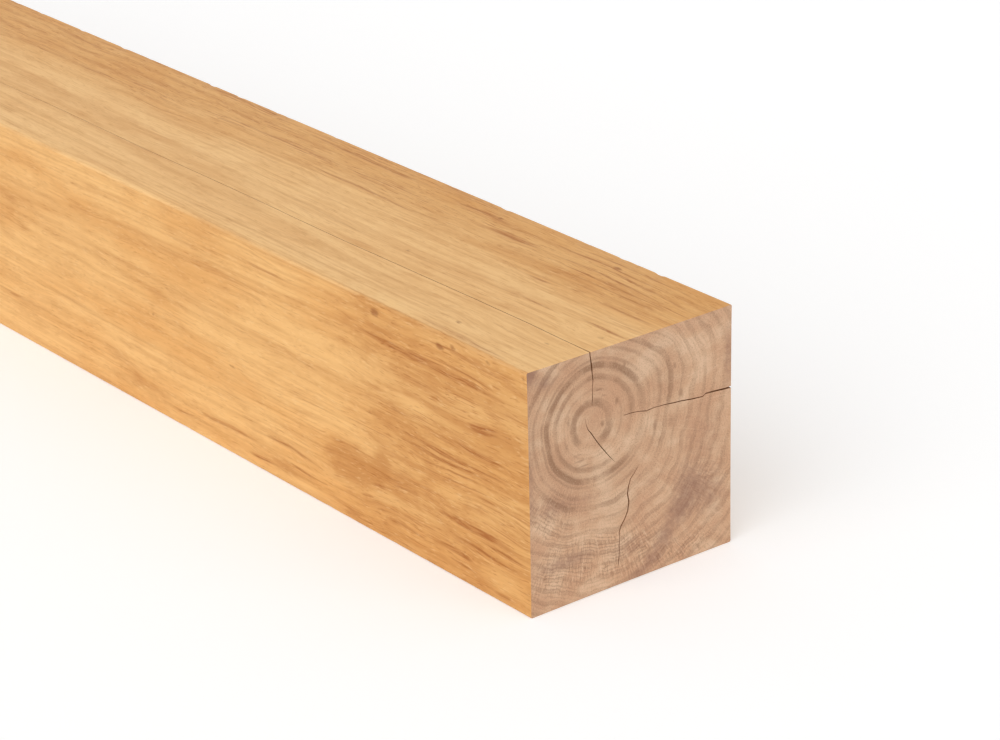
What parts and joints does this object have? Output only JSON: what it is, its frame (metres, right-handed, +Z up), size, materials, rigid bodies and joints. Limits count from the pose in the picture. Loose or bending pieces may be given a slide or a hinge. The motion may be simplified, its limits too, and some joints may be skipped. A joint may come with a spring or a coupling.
{
  "type": "oak post",
  "caption": "Square planed oak post with the heart boxed in and drying checks at both ends, for use upright or as a short beam.",
  "frame": {"origin": "middle of the underside as the post lies on a level floor", "axes": "+X along the grain to the head end, whose drying checks are the longer, +Y across to the face that the side check opens, +Z up through the face that the top check opens"},
  "size_m": [2.4, 0.15, 0.15],
  "materials": {
    "oak": "planed on the long faces, sawn on the ends"
  },
  "bodies": {
    "root": {"post": "oak"}
  },
  "joints": []
}
